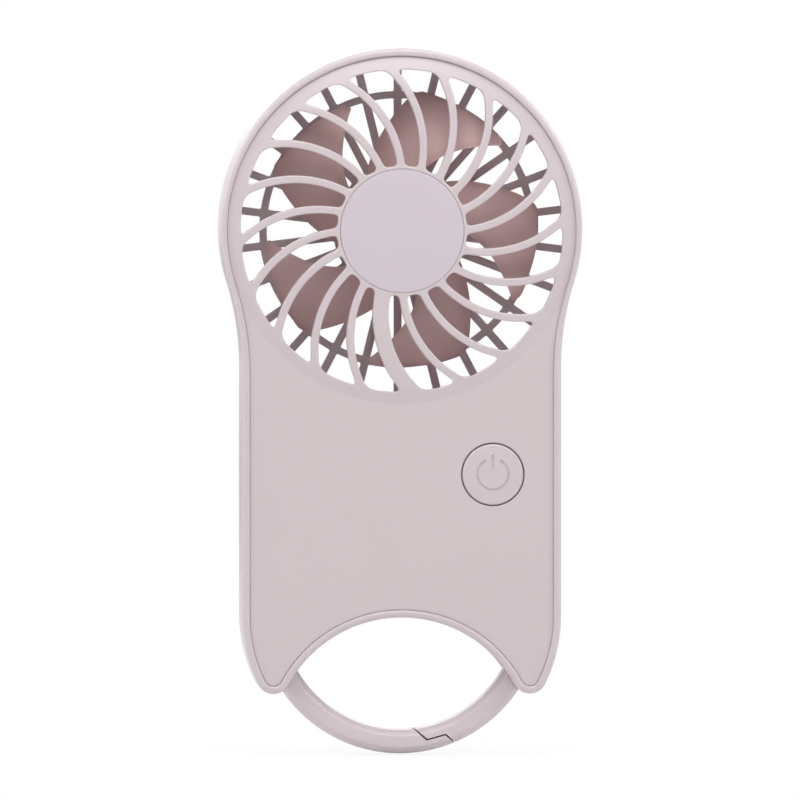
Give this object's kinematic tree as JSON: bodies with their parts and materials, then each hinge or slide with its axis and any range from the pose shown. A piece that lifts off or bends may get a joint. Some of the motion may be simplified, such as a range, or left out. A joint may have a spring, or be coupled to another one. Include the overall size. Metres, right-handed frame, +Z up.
{
  "type": "pocket fan",
  "caption": "Rechargeable pocket fan: round head with a swept front grille and ducted impeller, flat body with a push button, and a carabiner hoop with a sprung gate.",
  "frame": {"origin": "middle of the grip, on the flat back face", "axes": "+Y is the back face's outward normal, the air blows towards -Y, +Z points up along the body to the fan's head, +X points right seen from the front"},
  "size_m": [0.077, 0.022, 0.1505],
  "materials": {
    "case_plastic": "fine satin",
    "badge_plastic": "fine grain",
    "clip_plastic": "satin",
    "blade_plastic": "satin",
    "steel": "plated",
    "brass": "turned",
    "copper": "enamelled wire",
    "ferrite": "sintered",
    "laminate": "stamped sheets",
    "circuit_board": "solder mask",
    "black_plastic": "moulded",
    "foam": "foam tape",
    "foil": "pouch foil",
    "red_insulation": "smooth",
    "black_insulation": "smooth",
    "clear_lens": "frosted"
  },
  "bodies": {
    "housing": {"front_cover": "case_plastic", "rear_cover": "case_plastic", "hub_badge": "badge_plastic", "tact_switch": "black_plastic", "control_board": "circuit_board", "usb_port": "steel", "charge_led": "clear_lens", "battery_cell": "foil", "battery_pad": "foam", "battery_wire_red": "red_insulation", "battery_wire_black": "black_insulation", "motor_wire_red": "red_insulation", "motor_wire_black": "black_insulation", "case_screw_1": "steel", "case_screw_2": "steel", "case_screw_3": "steel", "case_screw_4": "steel", "board_screw_1": "steel", "board_screw_2": "steel", "clip_hoop": "clip_plastic", "gate_pin": "steel", "gate_spring": "steel", "motor_board": "circuit_board", "bearing_tube": "brass", "front_bearing": "brass", "rear_bearing": "brass", "stator_core": "laminate", "stator_coil_1": "copper", "stator_coil_2": "copper", "stator_coil_3": "copper", "stator_coil_4": "copper"},
    "rotor": {"impeller": "blade_plastic", "rotor_yoke": "steel", "rotor_magnet": "ferrite", "motor_shaft": "steel", "shaft_clip": "steel"},
    "button": {"power_button": "case_plastic", "switch_plunger": "black_plastic"},
    "gate": {"clip_gate": "clip_plastic"}
  },
  "joints": [
    {"name": "impeller_spin", "type": "hinge", "parent": "housing", "child": "rotor", "pos_m": [0, -0.0125, 0.0662], "axis": [0, -1, 0], "continuous": true},
    {"name": "button_press", "type": "slide", "parent": "housing", "child": "button", "axis": [0, 1, 0], "range_m": [0, 0.0006], "stiffness_N_per_m": 800, "springref_m": -0.0005},
    {"name": "gate_swing", "type": "hinge", "parent": "housing", "child": "gate", "pos_m": [0.02604, -0.01, -0.02474], "axis": [0, 1, 0], "range_deg": [0, 32], "stiffness_Nm_per_rad": 0.02, "springref_deg": -20.05, "deforming": ["gate_spring"]}
  ]
}
